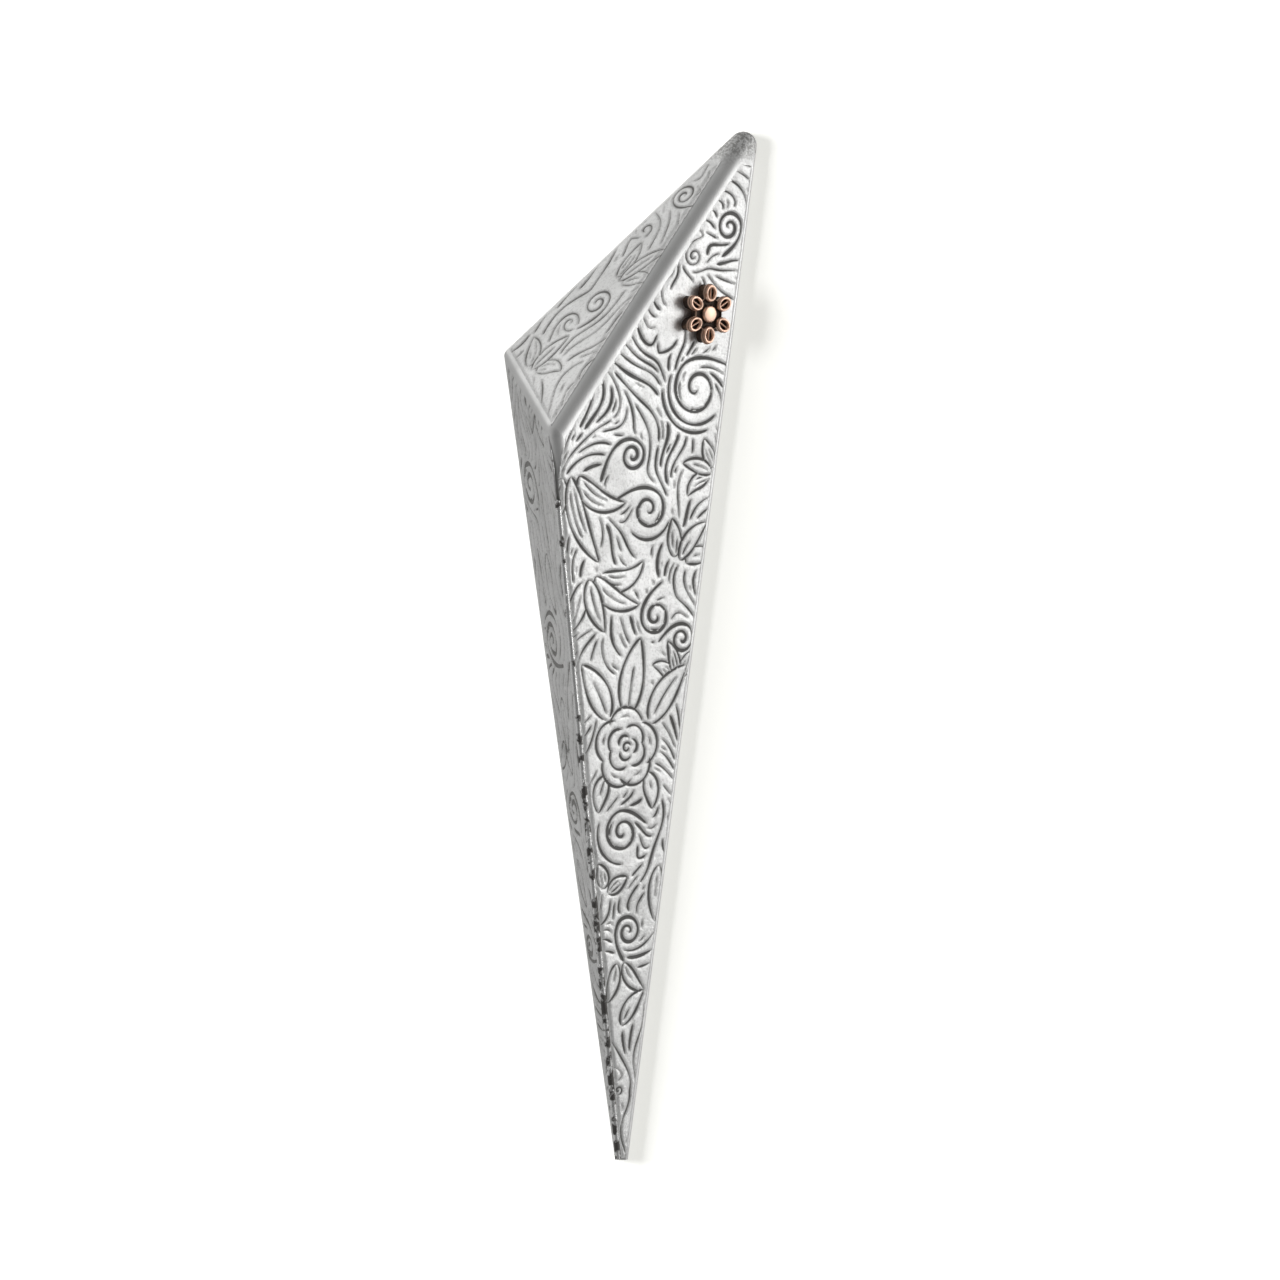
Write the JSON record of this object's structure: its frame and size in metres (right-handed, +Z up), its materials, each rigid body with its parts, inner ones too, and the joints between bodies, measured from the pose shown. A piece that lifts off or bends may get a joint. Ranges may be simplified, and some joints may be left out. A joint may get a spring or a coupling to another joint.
{
  "type": "mezuzah case",
  "caption": "Wall-mounted faceted metal case with embossed faces and a raised emblem; its shell pulls off a screwed back plate that holds a rolled scroll in a clear sleeve.",
  "frame": {"origin": "midway between the two mounting screws, on the wall behind the back plate", "axes": "+Z up along the doorpost, +Y into the wall, +X to the right seen from the front"},
  "size_m": [0.0405, 0.0374, 0.1652],
  "materials": {
    "pewter": "antiqued pewter, embossed and darkened in the grooves",
    "solder": "bright solder bead",
    "copper": "rose copper, brushed",
    "oxidised_copper": "dark brown oxidised copper",
    "plate_steel": "zinc-plated mild steel sheet",
    "spring_steel": "blued spring steel",
    "screw_brass": "brass wood screw",
    "rivet_aluminium": "plain aluminium",
    "magnet_nickel": "nickel-plated magnet",
    "clear_plastic": "clear acetate tube",
    "cap_plastic": "soft white plastic",
    "parchment": "thin natural parchment",
    "paper": "plain paper band"
  },
  "bodies": {
    "wall_plate": {"back_plate": "plate_steel", "upper_mounting_screw": "screw_brass", "lower_mounting_screw": "screw_brass", "lower_scroll_clip": "spring_steel", "upper_scroll_clip": "spring_steel", "clip_rivets": "rivet_aluminium"},
    "shell": {"front_shell": "pewter", "ridge_seam_bead": "solder", "copper_emblem": "copper", "emblem_backing": "oxidised_copper", "emblem_pins": "copper", "upper_magnet": "magnet_nickel", "left_magnet": "magnet_nickel", "lower_magnet": "magnet_nickel", "upper_magnet_post": "pewter", "left_magnet_post": "pewter", "lower_magnet_post": "pewter"},
    "scroll": {"scroll_sleeve": "clear_plastic", "lower_sleeve_cap": "cap_plastic", "upper_sleeve_cap": "cap_plastic", "parchment_scroll": "parchment", "scroll_band": "paper"}
  },
  "joints": [
    {"name": "shell_pull", "type": "slide", "parent": "wall_plate", "child": "shell", "axis": [0, -1, 0], "range_m": [0, 0.04]},
    {"name": "scroll_turn", "type": "hinge", "parent": "wall_plate", "child": "scroll", "pos_m": [-0.00056, -0.00582, -0.0274], "axis": [0.126, 0, 0.992], "continuous": true}
  ]
}
